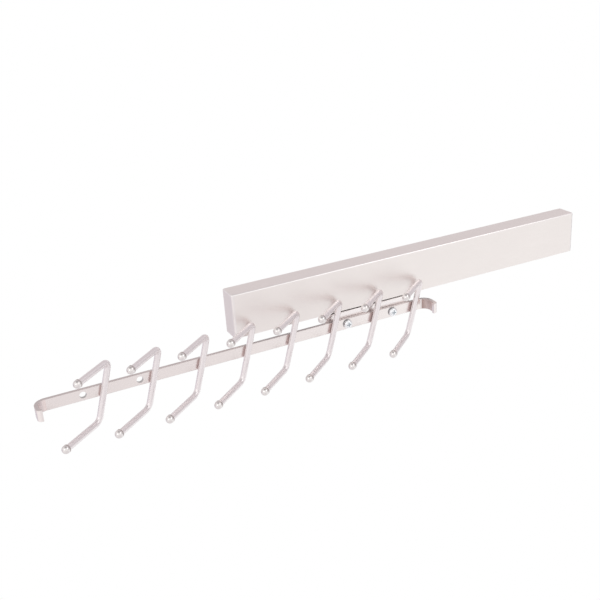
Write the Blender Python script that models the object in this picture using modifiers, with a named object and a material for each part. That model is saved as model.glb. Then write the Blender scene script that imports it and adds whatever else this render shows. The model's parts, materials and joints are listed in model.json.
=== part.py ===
"""Pull-out tie rack: a bar of double hooks on a ball slide, under a cover fixed to the wall.

Frame: metres, +Z up. The wall is the plane y = 0 and the rack stands out from it along -Y.
The bar is pulled out along -X, and the origin is the middle of the fixed rail's back.
"""
import math

import bmesh
import bpy
from mathutils import Matrix, Vector

MM = 0.001

# Fits
GAP = 0.3 * MM
HOLE_CLEARANCE = 0.3 * MM
WELD_DISTANCE = 0.00001

# Cover
COVER_LENGTH = 350 * MM
COVER_HEIGHT = 38 * MM
COVER_DEPTH = 18 * MM
COVER_WALL = 1.0 * MM
COVER_EDGE_RADIUS = 1.5 * MM
COVER_RETURN = 10 * MM

# Ball slide
SLIDE_TRAVEL = 165 * MM
RAIL_GAUGE = 1.2 * MM
RAIL_BEND_RADIUS = 1.6 * MM
BALL_DIAMETER = 3.2 * MM
BALL_ROW_SPACING = 24.4 * MM
BALL_ROW_DEPTH = 6.4 * MM
BALLS_PER_ROW = 7
BALL_PITCH = 11 * MM
RACE_CLEARANCE = 0.3 * MM
RACE_HALF_ANGLE = math.radians(40)
RACE_FOOT_RADIUS = 1.0 * MM
INNER_FLANGE_RUN = 0.4 * MM
RETAINER_GAUGE = 0.8 * MM
RETAINER_STANDOFF = 0.7 * MM
RETAINER_BEND_RADIUS = 1.0 * MM
RETAINER_EDGE = 0.6 * MM
RETAINER_END_MARGIN = 1.0 * MM
WALL_HOLE_DIAMETER = 4.5 * MM
WALL_HOLE_INSET = 30 * MM
WALL_HOLE_SPACING = 45 * MM
WALL_HOLES_PER_END = 2

# End blocks and bumpers
BLOCK_PLATE = 6 * MM
BLOCK_PLUG = 6 * MM
BLOCK_CORNER = 1.0 * MM
PLUG_DEPTH = 7.5 * MM
BUMPER_DIAMETER = 8 * MM
BUMPER_THICKNESS = 3 * MM
BUMPER_ROUNDING = 0.8 * MM
BUMPER_STEM_DIAMETER = 3 * MM
BUMPER_STEM_LENGTH = 4 * MM

# Bracket
BRACKET_LENGTH = 84 * MM
BRACKET_GAUGE = 2.0 * MM
BRACKET_LEG_RISE = 8 * MM
BRACKET_STEP_DROP = 1.2 * MM
BRACKET_BEND_RADIUS = 1.4 * MM
BRACKET_FOOT_MARGIN = 1.0 * MM
BRACKET_COVER_CLEARANCE = 0.45 * MM
BRACKET_END_INSET = 1.1 * MM
RIVET_SPACING = 60 * MM
RIVET_DIAMETER = 4 * MM
RIVET_HEAD_DIAMETER = 7 * MM
RIVET_HEAD_HEIGHT = 1.6 * MM
RIVET_TAIL_HEIGHT = 0.8 * MM

# Hook bar
BAR_HEIGHT = 9.5 * MM
BAR_GAUGE = 3.0 * MM
BAR_DROP = 7.5 * MM
BAR_EDGE = 0.3 * MM
CURL_RADIUS = 8.0 * MM
CURL_RUN = 5.6 * MM
LIP_RADIUS = 1.8 * MM
LIP_RUN = 1.0 * MM
BAR_HOLE_DIAMETER = 5.5 * MM
BAR_HOLE_SPACING = 45 * MM

# Hooks
HOOK_COUNT = 8
FIRST_HOOK_INSET = 43.5 * MM
LAST_HOOK_INSET = 7.5 * MM
WIRE_DIAMETER = 5.0 * MM
UPPER_BEND_RADIUS = 4.5 * MM
LOWER_BEND_RADIUS = 6.5 * MM
SHANK_HEIGHT = 49 * MM
SHANK_LEAN = math.radians(16.5)
UPPER_PEG_LENGTH = 37 * MM
UPPER_PEG_SWING = math.radians(37.5)
UPPER_PEG_RISE = math.radians(-2.5)
LOWER_PEG_LENGTH = 42.5 * MM
LOWER_PEG_SWING = math.radians(41)
LOWER_PEG_RISE = math.radians(1)
TIP_DIAMETER = 6.8 * MM

# Screws and nuts
SCREW_DIAMETER = 4 * MM
SCREW_HEAD_DIAMETER = 8 * MM
SCREW_HEAD_HEIGHT = 2.6 * MM
SCREW_RECESS_SPAN = 4.4 * MM
SCREW_RECESS_WIDTH = 1.1 * MM
SCREW_RECESS_DEPTH = 1.5 * MM
SCREW_END = 1.2 * MM
NUT_ACROSS_FLATS = 7 * MM
NUT_THICKNESS = 3.2 * MM
COVER_SCREW_DIAMETER = 3 * MM
COVER_SCREW_HEAD_DIAMETER = 5.5 * MM
COVER_SCREW_HEAD_HEIGHT = 1.8 * MM
COVER_SCREW_LENGTH = 8 * MM

# Smoothness of round forms
ARC_STEP = math.radians(20)
TURN_STEPS = 16
TIP_TURN_STEPS = 12
TIP_PROFILE_STEPS = 7
CORNER_STEPS = 3
HOLE_SIDES = 16
WIRE_BEVEL_RESOLUTION = 4
BALL_SUBDIVISIONS = 2
COVER_EDGE_SEGMENTS = 3
SMOOTH_ANGLE = math.radians(35)

# Finishes: colour, roughness, metallic
SATIN_NICKEL = ((0.78, 0.72, 0.70), 0.38, 0.85)
BRIGHT_ZINC = ((0.86, 0.85, 0.84), 0.28, 1.0)
BEARING_STEEL = ((0.72, 0.73, 0.75), 0.15, 1.0)
GALVANISED = ((0.62, 0.64, 0.66), 0.42, 1.0)
GLOSS_TIP = ((0.80, 0.74, 0.72), 0.12, 0.6)
DARK_RUBBER = ((0.04, 0.04, 0.04), 0.85, 0.0)
GREY_NYLON = ((0.55, 0.54, 0.53), 0.55, 0.0)

# Places worked out from the sizes above; depths are distances from the wall
BALL_RADIUS = BALL_DIAMETER / 2
ROW_HEIGHT = BALL_ROW_SPACING / 2
RACE_RADIUS = BALL_RADIUS + RACE_CLEARANCE
RACE_MIDDLE = RACE_RADIUS + RAIL_GAUGE / 2
FLANGE_OFFSET = RACE_MIDDLE * math.cos(RACE_HALF_ANGLE) - RACE_FOOT_RADIUS * (1 - math.cos(RACE_HALF_ANGLE))
RACE_HALF_SPAN = (RACE_MIDDLE + RACE_FOOT_RADIUS) * math.sin(RACE_HALF_ANGLE)
OUTER_FLANGE = ROW_HEIGHT + FLANGE_OFFSET
INNER_FLANGE = ROW_HEIGHT - FLANGE_OFFSET
INNER_WEB_DEPTH = BALL_ROW_DEPTH + RACE_HALF_SPAN + INNER_FLANGE_RUN + RAIL_BEND_RADIUS
INNER_FRONT_DEPTH = INNER_WEB_DEPTH + RAIL_GAUGE / 2
RETAINER_WEB_DEPTH = RAIL_GAUGE + RETAINER_STANDOFF + RETAINER_GAUGE / 2
RETAINER_FRONT = BALL_ROW_DEPTH + RACE_RADIUS + RETAINER_EDGE

BLOCK_OUTER_X = COVER_LENGTH / 2 - COVER_WALL - GAP
BLOCK_INNER_X = BLOCK_OUTER_X - BLOCK_PLATE
PLUG_END_X = BLOCK_INNER_X - BLOCK_PLUG
BUMPER_END_X = PLUG_END_X - GAP - BUMPER_THICKNESS
OUTER_RAIL_LENGTH = 2 * (BLOCK_INNER_X - GAP)
INNER_RAIL_LENGTH = 2 * (BUMPER_END_X - GAP) - SLIDE_TRAVEL
RETAINER_LENGTH = INNER_RAIL_LENGTH - SLIDE_TRAVEL / 2 - 2 * RETAINER_END_MARGIN

BRACKET_LEG_DEPTH = INNER_FRONT_DEPTH + GAP + BRACKET_GAUGE / 2
BRACKET_FOOT_FRONT = COVER_DEPTH - COVER_WALL - BRACKET_COVER_CLEARANCE
BRACKET_FOOT_DEPTH = BRACKET_FOOT_FRONT - BRACKET_GAUGE / 2
BAR_BACK_DEPTH = BRACKET_FOOT_FRONT + GAP
BAR_MIDDLE_DEPTH = BAR_BACK_DEPTH + BAR_GAUGE / 2
BAR_FRONT_DEPTH = BAR_BACK_DEPTH + BAR_GAUGE
BAR_TOP = -COVER_HEIGHT / 2 - BAR_DROP
BAR_MIDDLE = BAR_TOP - BAR_HEIGHT / 2
BRACKET_FOOT_BOTTOM = BAR_TOP - BAR_HEIGHT + BRACKET_FOOT_MARGIN
WIRE_DEPTH = BAR_FRONT_DEPTH + GAP + WIRE_DIAMETER / 2
BAR_STRAIGHT = COVER_LENGTH - 2 * CURL_RADIUS - BAR_GAUGE
BAR_HOLE_OFFSET = (SLIDE_TRAVEL + INNER_RAIL_LENGTH - BRACKET_LENGTH) / 2 - BRACKET_END_INSET
HOOK_PITCH = (BAR_STRAIGHT - FIRST_HOOK_INSET - LAST_HOOK_INSET) / (HOOK_COUNT - 1)
FIRST_HOOK_X = FIRST_HOOK_INSET - BAR_STRAIGHT / 2

# Turn that stands a section drawn as (depth, height) on the wall, running along X
SECTION_TURN = Matrix(((0, 0, -1), (-1, 0, 0), (0, 1, 0))).to_euler()
# Turns that point a piece's own +Z forward, left, right or down
FORWARD_TURN = Vector((0, -1, 0)).to_track_quat("Z", "Y").to_euler()
LEFT_TURN = Vector((-1, 0, 0)).to_track_quat("Z", "Y").to_euler()
RIGHT_TURN = Vector((1, 0, 0)).to_track_quat("Z", "Y").to_euler()
DOWN_TURN = Vector((0, 0, -1)).to_track_quat("Z", "Y").to_euler()


def clear_scene():
    for obj in list(bpy.data.objects):
        bpy.data.objects.remove(obj, do_unlink=True)


def make_collection(name):
    collection = bpy.data.collections.new(name)
    bpy.context.scene.collection.children.link(collection)
    return collection


def make_empty(name, location):
    empty = bpy.data.objects.new(name, None)
    empty.location = location
    parts.objects.link(empty)
    return empty


def make_material(name, finish):
    colour, roughness, metallic = finish
    material = bpy.data.materials.new(name + "_finish")
    material.use_nodes = True
    shader = material.node_tree.nodes["Principled BSDF"]
    shader.inputs["Base Color"].default_value = (*colour, 1.0)
    shader.inputs["Roughness"].default_value = roughness
    shader.inputs["Metallic"].default_value = metallic
    return material


def add_object(name, data, finish=None, parent=None, location=(0, 0, 0), rotation=(0, 0, 0)):
    """Link an object among the parts, or among the cutters when it has no finish."""
    obj = bpy.data.objects.new(name, data)
    obj.location = location
    obj.rotation_euler = rotation
    obj.parent = parent
    if finish is None:
        cutters.objects.link(obj)
        obj.hide_render = True
        obj.display_type = "WIRE"
    else:
        parts.objects.link(obj)
        data.materials.append(make_material(name, finish))
    return obj


def mesh_from(name, bm, smooth=True):
    mesh = bpy.data.meshes.new(name)
    bm.to_mesh(mesh)
    bm.free()
    if smooth:
        mesh.shade_smooth()
        mesh.set_sharp_from_angle(angle=SMOOTH_ANGLE)
    return mesh


def bent_path(start, heading, segments):
    """Middle line of a bent strip: a number runs straight on, a (radius, angle) pair turns."""
    point = Vector(start)
    points = [point.copy()]
    for segment in segments:
        if not isinstance(segment, tuple):
            point = point + segment * Vector((math.cos(heading), math.sin(heading)))
            if segment > WELD_DISTANCE:
                points.append(point.copy())
            continue
        radius, angle = segment
        side = math.copysign(1, angle)
        centre = point + side * radius * Vector((-math.sin(heading), math.cos(heading)))
        steps = max(2, math.ceil(abs(angle) / ARC_STEP))
        for step in range(1, steps + 1):
            turned = heading + angle * step / steps
            points.append(centre + side * radius * Vector((math.sin(turned), -math.cos(turned))))
        point = points[-1].copy()
        heading += angle
    return points


def mirrored_path(half):
    """A path that starts on the symmetry line y = 0, with its mirror image before it."""
    return [Vector((p.x, -p.y)) for p in reversed(half[1:])] + half


def strip_outline(path, gauge):
    """Closed outline of a strip of even thickness along a middle line."""
    left, right = [], []
    for i, point in enumerate(path):
        before = (point - path[i - 1]).normalized() if i else (path[1] - point).normalized()
        after = (path[i + 1] - point).normalized() if i + 1 < len(path) else before
        along = (before + after).normalized()
        normal = Vector((-along.y, along.x)) * (gauge / 2 / along.dot(before))
        left.append(point + normal)
        right.append(point - normal)
    return left + right[::-1]


def circle_outline(radius, sides):
    turns = [2 * math.pi * i / sides for i in range(sides)]
    return [Vector((radius * math.cos(a), radius * math.sin(a))) for a in turns]


def extruded_mesh(name, outlines, thickness):
    """Mesh of a flat outline, with any further outlines as holes, extruded about its plane."""
    curve = bpy.data.curves.new(name, "CURVE")
    curve.dimensions = "2D"
    curve.fill_mode = "BOTH"
    curve.extrude = thickness / 2
    for outline in outlines:
        spline = curve.splines.new("POLY")
        spline.points.add(len(outline) - 1)
        spline.use_cyclic_u = True
        for knot, point in zip(spline.points, outline):
            knot.co = (point.x, point.y, 0, 1)
    guide = bpy.data.objects.new(name + "_outline", curve)
    cutters.objects.link(guide)
    evaluated = guide.evaluated_get(bpy.context.evaluated_depsgraph_get())
    bm = bmesh.new()
    bm.from_mesh(bpy.data.meshes.new_from_object(evaluated))
    bpy.data.objects.remove(guide, do_unlink=True)
    bmesh.ops.remove_doubles(bm, verts=bm.verts, dist=WELD_DISTANCE)
    bmesh.ops.recalc_face_normals(bm, faces=bm.faces)
    return mesh_from(name, bm)


def box_between(low, high):
    bm = bmesh.new()
    middle = (Vector(low) + Vector(high)) / 2
    size = Vector(high) - Vector(low)
    bmesh.ops.create_cube(bm, size=1, matrix=Matrix.Translation(middle) @ Matrix.Diagonal((*size, 1)))
    return bm


def box_mesh(name, low, high):
    return mesh_from(name, box_between(low, high), smooth=False)


def cylinders_mesh(name, radius, length, places, axis):
    """A group of equal cylinders along one axis, each centred on a place."""
    bm = bmesh.new()
    turn = Vector(axis).to_track_quat("Z", "Y").to_matrix().to_4x4()
    for place in places:
        bmesh.ops.create_cone(bm, cap_ends=True, segments=HOLE_SIDES, radius1=radius, radius2=radius,
                              depth=length, matrix=Matrix.Translation(place) @ turn)
    return mesh_from(name, bm)


def turned_mesh(name, profile):
    """Mesh of a turned profile's line, from its top to its bottom, in the (radius, height) plane."""
    bm = bmesh.new()
    verts = [bm.verts.new((radius, 0, height)) for radius, height in profile]
    for upper, lower in zip(verts, verts[1:]):
        bm.edges.new((upper, lower))
    return mesh_from(name, bm, smooth=False)


def add_turn(obj, steps=TURN_STEPS):
    turn = obj.modifiers.new("turn", "SCREW")
    turn.axis = "Z"
    turn.angle = 2 * math.pi
    turn.steps = steps
    turn.render_steps = steps
    turn.use_merge_vertices = True
    turn.merge_threshold = WELD_DISTANCE
    turn.use_smooth_shade = True
    return obj


def add_boolean(obj, operation, cutter):
    boolean = obj.modifiers.new(operation.lower(), "BOOLEAN")
    boolean.operation = operation
    boolean.solver = "EXACT"
    boolean.object = cutter


def add_bevel(obj, width, segments=1):
    bevel = obj.modifiers.new("edges", "BEVEL")
    bevel.width = width
    bevel.segments = segments
    bevel.limit_method = "ANGLE"
    bevel.angle_limit = SMOOTH_ANGLE
    return bevel


def arc_profile(radius, height, start, end, steps):
    """Points of a round stretch of a turned profile, angles counted down from the axis."""
    turns = [start + (end - start) * i / steps for i in range(steps + 1)]
    return [(radius * math.sin(a), height + radius * math.cos(a)) for a in turns]


def cover_block(inset):
    """Block of the cover's outside or, inset by the wall, of its hollow, which reaches out of its back."""
    length, height = COVER_LENGTH / 2 - inset, COVER_HEIGHT / 2 - inset
    bm = box_between((-length, inset - COVER_DEPTH, -height), (length, inset, height))
    weights = bm.edges.layers.float.new("bevel_weight_edge")
    for edge in bm.edges:
        on_bottom = all(v.co.z < 0 for v in edge.verts)
        on_back = all(v.co.y > -COVER_DEPTH / 2 for v in edge.verts)
        edge[weights] = float(not on_bottom and not on_back)
    return bm


def pieces_below(bm):
    """Faces of a block's underside."""
    bm.normal_update()
    return [face for face in bm.faces if round(face.normal.z) < 0]


def lower_slot(bm):
    """Drop the middle of a block's underside, which leaves a return at each end."""
    slot_end = COVER_LENGTH / 2 - COVER_RETURN
    for x in (-slot_end, slot_end):
        faces = pieces_below(bm)
        geometry = faces + list({item for face in faces for item in (*face.verts, *face.edges)})
        bmesh.ops.bisect_plane(bm, geom=geometry, plane_co=(x, 0, 0), plane_no=(1, 0, 0))
    middle = min(pieces_below(bm), key=lambda face: abs(face.calc_center_median().x))
    dropped = bmesh.ops.extrude_face_region(bm, geom=[middle])["geom"]
    verts = [item for item in dropped if isinstance(item, bmesh.types.BMVert)]
    bmesh.ops.translate(bm, vec=(0, 0, -2 * COVER_WALL), verts=verts)
    bmesh.ops.delete(bm, geom=[middle], context="FACES_ONLY")


def build_cover():
    """Folded shell: front, top and ends, with a short bottom return at each end."""
    outside = mesh_from("cover", cover_block(0), smooth=False)
    cover = add_object("cover", outside, SATIN_NICKEL)
    add_bevel(cover, COVER_EDGE_RADIUS, COVER_EDGE_SEGMENTS).limit_method = "WEIGHT"
    hollow_block = cover_block(COVER_WALL)
    lower_slot(hollow_block)
    hollow = add_object("cover_hollow", mesh_from("cover_hollow", hollow_block, smooth=False))
    add_bevel(hollow, COVER_EDGE_RADIUS - COVER_WALL, COVER_EDGE_SEGMENTS).limit_method = "WEIGHT"
    add_boolean(cover, "DIFFERENCE", hollow)
    add_boolean(cover, "DIFFERENCE", build_cover_screw_holes("cover_screw_holes"))


def cover_screw_places():
    x = BLOCK_OUTER_X - BLOCK_PLATE / 2
    return [Vector((side * x, -COVER_DEPTH / 2, -COVER_HEIGHT / 2)) for side in (-1, 1)]


def build_cover_screw_holes(name):
    radius = COVER_SCREW_DIAMETER / 2 + HOLE_CLEARANCE
    length = 2 * (COVER_SCREW_LENGTH + 2 * GAP)
    return add_object(name, cylinders_mesh(name, radius, length, cover_screw_places(), (0, 0, 1)))


def turned_piece(name, profile, finish, parent, place, rotation, steps=TURN_STEPS):
    return add_turn(add_object(name, turned_mesh(name, profile), finish, parent, place, rotation), steps)


def build_cover_screws():
    """Small pan-head screws, up through the returns into the end blocks."""
    head, shank = COVER_SCREW_HEAD_DIAMETER / 2, COVER_SCREW_DIAMETER / 2
    top = GAP + COVER_SCREW_HEAD_HEIGHT
    rounding = COVER_SCREW_HEAD_HEIGHT / 2
    profile = [(0, top), *pan_corner(head, top, rounding), (head, GAP), (shank, GAP),
               (shank, -COVER_SCREW_LENGTH), (0, -COVER_SCREW_LENGTH)]
    for name, place in zip(("left_cover_screw", "right_cover_screw"), cover_screw_places()):
        turned_piece(name, profile, BRIGHT_ZINC, None, place, DOWN_TURN)


def pan_corner(radius, top, rounding):
    """Rounded upper edge of a pan head, as points of its profile."""
    corner = arc_profile(rounding, top - rounding, 0, math.pi / 2, CORNER_STEPS)
    return [(radius - rounding + out, height) for out, height in corner]


def build_outer_rail():
    """Fixed channel whose flanges arch over the two rows of balls."""
    half = bent_path((RAIL_GAUGE / 2, 0), math.pi / 2, [
        OUTER_FLANGE - RAIL_BEND_RADIUS,
        (RAIL_BEND_RADIUS, -math.pi / 2),
        BALL_ROW_DEPTH - RACE_HALF_SPAN - RAIL_GAUGE / 2 - RAIL_BEND_RADIUS,
        (RACE_FOOT_RADIUS, RACE_HALF_ANGLE),
        (RACE_MIDDLE, -2 * RACE_HALF_ANGLE),
    ])
    outline = strip_outline(mirrored_path(half), RAIL_GAUGE)
    mesh = extruded_mesh("outer_rail", [outline], OUTER_RAIL_LENGTH)
    rail = add_object("outer_rail", mesh, GALVANISED, rotation=SECTION_TURN)
    first = OUTER_RAIL_LENGTH / 2 - WALL_HOLE_INSET
    places = [Vector((side * (first - i * WALL_HOLE_SPACING), 0, 0)) for side in (-1, 1)
              for i in range(WALL_HOLES_PER_END)]
    holes = cylinders_mesh("wall_screw_holes", WALL_HOLE_DIAMETER / 2, 4 * RAIL_GAUGE, places, (0, 1, 0))
    add_boolean(rail, "DIFFERENCE", add_object("wall_screw_holes", holes))
    return rail


def build_inner_rail(carriage):
    """Sliding channel, facing the fixed one, with a valley under each row of balls."""
    half = bent_path((INNER_WEB_DEPTH, 0), math.pi / 2, [
        INNER_FLANGE - RAIL_BEND_RADIUS,
        (RAIL_BEND_RADIUS, math.pi / 2),
        INNER_FLANGE_RUN,
        (RACE_FOOT_RADIUS, RACE_HALF_ANGLE),
        (RACE_MIDDLE, -2 * RACE_HALF_ANGLE),
    ])
    outline = strip_outline(mirrored_path(half), RAIL_GAUGE)
    mesh = extruded_mesh("inner_rail", [outline], INNER_RAIL_LENGTH)
    place = (SLIDE_TRAVEL / 2, BALL_ROW_DEPTH, 0)
    rail = add_object("inner_rail", mesh, GALVANISED, carriage, place, SECTION_TURN)
    add_boolean(rail, "DIFFERENCE", build_rivet_holes("inner_rail_rivet_holes", carriage))
    return rail


def ball_places():
    middle = (BALLS_PER_ROW - 1) / 2
    return [(i - middle) * BALL_PITCH for i in range(BALLS_PER_ROW)]


def build_balls(row, height, cage):
    for number, x in enumerate(ball_places(), 1):
        bm = bmesh.new()
        bmesh.ops.create_icosphere(bm, subdivisions=BALL_SUBDIVISIONS, radius=BALL_RADIUS)
        name = f"{row}_ball_{number}"
        add_object(name, mesh_from(name, bm), BEARING_STEEL, cage, (x, 0, height))


def build_retainer(cage):
    """Cage that spaces the balls: a back web and two flanges with a window for each ball."""
    half = bent_path((RETAINER_WEB_DEPTH, 0), math.pi / 2, [
        ROW_HEIGHT - RETAINER_BEND_RADIUS,
        (RETAINER_BEND_RADIUS, -math.pi / 2),
        RETAINER_FRONT - RETAINER_WEB_DEPTH - RETAINER_BEND_RADIUS,
    ])
    outline = strip_outline(mirrored_path(half), RETAINER_GAUGE)
    mesh = extruded_mesh("ball_retainer", [outline], RETAINER_LENGTH)
    place = (0, BALL_ROW_DEPTH, 0)
    retainer = add_object("ball_retainer", mesh, BRIGHT_ZINC, cage, place, SECTION_TURN)
    places = [Vector((x, 0, side * ROW_HEIGHT)) for x in ball_places() for side in (-1, 1)]
    windows = cylinders_mesh("ball_windows", RACE_RADIUS, 4 * RETAINER_GAUGE, places, (0, 0, 1))
    add_boolean(retainer, "DIFFERENCE", add_object("ball_windows", windows, parent=cage))
    return retainer


def build_end_block(name, side):
    """Plate that fills the cover's end, with a plug that enters the fixed rail."""
    top = COVER_HEIGHT / 2 - COVER_WALL - GAP
    front = COVER_DEPTH - COVER_WALL - GAP
    xs = sorted((side * BLOCK_OUTER_X, side * BLOCK_INNER_X))
    block = add_object(name, box_mesh(name, (xs[0], -front, -top), (xs[1], -GAP, top)), GREY_NYLON)
    add_bevel(block, BLOCK_CORNER)
    plug_height = OUTER_FLANGE - RAIL_GAUGE / 2 - GAP
    plug_back = RAIL_GAUGE + GAP
    xs = sorted((side * (BLOCK_OUTER_X - BLOCK_PLATE / 2), side * PLUG_END_X))
    low = (xs[0], -plug_back - PLUG_DEPTH, -plug_height)
    plug = add_object(name + "_plug", box_mesh(name + "_plug", low, (xs[1], -plug_back, plug_height)))
    add_boolean(block, "UNION", plug)
    socket = cylinders_mesh(name + "_socket", BUMPER_STEM_DIAMETER / 2 + HOLE_CLEARANCE,
                            2 * (BUMPER_STEM_LENGTH + GAP), [bumper_place(side)], (1, 0, 0))
    add_boolean(block, "DIFFERENCE", add_object(name + "_socket", socket))
    add_boolean(block, "DIFFERENCE", build_cover_screw_holes(name + "_screw_hole"))
    return block


def bumper_place(side):
    return Vector((side * PLUG_END_X, -RAIL_GAUGE - GAP - PLUG_DEPTH / 2, 0))


def build_bumper(name, side, turn):
    """Rubber button whose stem sits in the plug, its face toward the sliding rail."""
    radius, stem = BUMPER_DIAMETER / 2, BUMPER_STEM_DIAMETER / 2
    face = GAP + BUMPER_THICKNESS
    profile = [(0, face), (radius - BUMPER_ROUNDING, face), (radius, face - BUMPER_ROUNDING), (radius, GAP),
               (stem, GAP), (stem, -BUMPER_STEM_LENGTH), (0, -BUMPER_STEM_LENGTH)]
    return turned_piece(name, profile, DARK_RUBBER, None, bumper_place(side), turn)


def build_bracket(carriage):
    """Strip riveted to the sliding rail; below the cover it steps forward, then down to the bar."""
    offset = BRACKET_FOOT_DEPTH - BRACKET_LEG_DEPTH
    shelf = max(0, abs(offset) - 2 * BRACKET_BEND_RADIUS)
    bend = math.copysign(math.acos(1 - (abs(offset) - shelf) / (2 * BRACKET_BEND_RADIUS)), offset)
    bend_height = BRACKET_BEND_RADIUS * math.sin(abs(bend))
    shelf_height = -COVER_HEIGHT / 2 - BRACKET_STEP_DROP - BRACKET_GAUGE / 2
    path = bent_path((BRACKET_LEG_DEPTH, BRACKET_LEG_RISE), -math.pi / 2, [
        BRACKET_LEG_RISE - bend_height - shelf_height,
        (BRACKET_BEND_RADIUS, bend),
        shelf,
        (BRACKET_BEND_RADIUS, -bend),
        shelf_height - bend_height - BRACKET_FOOT_BOTTOM,
    ])
    mesh = extruded_mesh("bracket", [strip_outline(path, BRACKET_GAUGE)], BRACKET_LENGTH)
    place = (BAR_HOLE_OFFSET, BALL_ROW_DEPTH, 0)
    bracket = add_object("bracket", mesh, BRIGHT_ZINC, carriage, place, SECTION_TURN)
    add_boolean(bracket, "DIFFERENCE", build_rivet_holes("bracket_rivet_holes", carriage))
    radius = SCREW_DIAMETER / 2 + HOLE_CLEARANCE
    places = bar_screw_places(BRACKET_FOOT_DEPTH)
    holes = cylinders_mesh("bracket_screw_holes", radius, 2 * BRACKET_GAUGE, places, (0, 1, 0))
    add_boolean(bracket, "DIFFERENCE", add_object("bracket_screw_holes", holes, parent=carriage))
    return bracket


def rivet_places(depth):
    xs = [BAR_HOLE_OFFSET + side * RIVET_SPACING / 2 for side in (-1, 1)]
    return [Vector((x, BALL_ROW_DEPTH - depth, 0)) for x in xs]


def build_rivet_holes(name, carriage):
    length = 2 * (BRACKET_GAUGE + RAIL_GAUGE + GAP)
    places = rivet_places(INNER_FRONT_DEPTH)
    holes = cylinders_mesh(name, RIVET_DIAMETER / 2 + HOLE_CLEARANCE, length, places, (0, 1, 0))
    return add_object(name, holes, parent=carriage)


def build_rivets(carriage):
    """Rivets with a domed head on the bracket and a flat tail behind the sliding rail."""
    head, shank = RIVET_HEAD_DIAMETER / 2, RIVET_DIAMETER / 2
    grip_top = GAP + BRACKET_GAUGE + GAP
    grip_bottom = -RAIL_GAUGE - GAP
    tail = grip_bottom - RIVET_TAIL_HEIGHT
    dome = [(head * out, grip_top + RIVET_HEAD_HEIGHT * up)
            for out, up in arc_profile(1, 0, 0, math.pi / 2, CORNER_STEPS)]
    profile = dome + [(shank, grip_top), (shank, grip_bottom), (head, grip_bottom), (head, tail), (0, tail)]
    for number, place in enumerate(rivet_places(INNER_FRONT_DEPTH), 1):
        turned_piece(f"bracket_rivet_{number}", profile, GALVANISED, carriage, place, FORWARD_TURN)


def build_bar(carriage):
    """Flat strip on edge, its ends curled forward and folded in to a lip to pull it by."""
    half = bent_path((0, 0), 0, [
        BAR_STRAIGHT / 2,
        (CURL_RADIUS, -math.pi / 2),
        CURL_RUN,
        (LIP_RADIUS, -math.pi / 2),
        LIP_RUN,
    ])
    path = [Vector((-p.x, p.y)) for p in reversed(half[1:])] + half[1:]
    mesh = extruded_mesh("hook_bar", [strip_outline(path, BAR_GAUGE)], BAR_HEIGHT)
    place = (0, BALL_ROW_DEPTH - BAR_MIDDLE_DEPTH, BAR_MIDDLE)
    bar = add_object("hook_bar", mesh, SATIN_NICKEL, carriage, place)
    add_bevel(bar, BAR_EDGE)
    places = [p for end in (-1, 1) for p in bar_screw_places(BAR_MIDDLE_DEPTH, end)]
    holes = cylinders_mesh("bar_holes", BAR_HOLE_DIAMETER / 2, 2 * BAR_GAUGE, places, (0, 1, 0))
    add_boolean(bar, "DIFFERENCE", add_object("bar_holes", holes, parent=carriage))
    return bar


def bar_screw_places(depth, end=1):
    """Hole centres near one end of the bar; +1 is the end that the bracket holds."""
    xs = [end * BAR_HOLE_OFFSET + side * BAR_HOLE_SPACING / 2 for side in (-1, 1)]
    return [Vector((x, BALL_ROW_DEPTH - depth, BAR_MIDDLE)) for x in xs]


def build_bar_screws(carriage):
    """Pan-head screws through the bar and the bracket, with a cross recess."""
    head, shank = SCREW_HEAD_DIAMETER / 2, SCREW_DIAMETER / 2
    top = GAP + SCREW_HEAD_HEIGHT
    end = BAR_GAUGE + GAP + BRACKET_GAUGE + GAP + NUT_THICKNESS + SCREW_END
    profile = [(0, top), *pan_corner(head, top, SCREW_HEAD_HEIGHT / 2), (head, GAP), (shank, GAP),
               (shank, -end), (0, -end)]
    span, width = SCREW_RECESS_SPAN / 2, SCREW_RECESS_WIDTH / 2
    arm = [(span, -width), (span, width), (width, width)]
    cross = [Matrix.Rotation(math.pi / 2 * turn, 2) @ Vector(p) for turn in range(4) for p in arm]
    for number, place in enumerate(bar_screw_places(BAR_FRONT_DEPTH), 1):
        screw = turned_piece(f"bar_screw_{number}", profile, BRIGHT_ZINC, carriage, place, FORWARD_TURN)
        mesh = extruded_mesh("screw_recess", [cross], 2 * SCREW_RECESS_DEPTH)
        face = place - Vector((0, top, 0))
        recess = add_object("screw_recess", mesh, None, carriage, face, FORWARD_TURN)
        add_boolean(screw, "DIFFERENCE", recess)


def build_bar_nuts(carriage):
    """Hexagon nuts behind the bracket, on the bar screws."""
    bore = circle_outline(SCREW_DIAMETER / 2 + HOLE_CLEARANCE, HOLE_SIDES)
    hexagon = circle_outline(NUT_ACROSS_FLATS / math.sqrt(3), 6)
    depth = BRACKET_FOOT_DEPTH - BRACKET_GAUGE / 2 - GAP - NUT_THICKNESS / 2
    for number, place in enumerate(bar_screw_places(depth), 1):
        name = f"bar_nut_{number}"
        mesh = extruded_mesh(name, [hexagon, bore], NUT_THICKNESS)
        add_object(name, mesh, BRIGHT_ZINC, carriage, place, FORWARD_TURN)


def peg_direction(swing, rise):
    """Unit vector of a peg: out along -X, swung forward from it, then raised."""
    flat = Vector((-math.cos(swing), -math.sin(swing), 0))
    return flat * math.cos(rise) + Vector((0, 0, math.sin(rise)))


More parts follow.
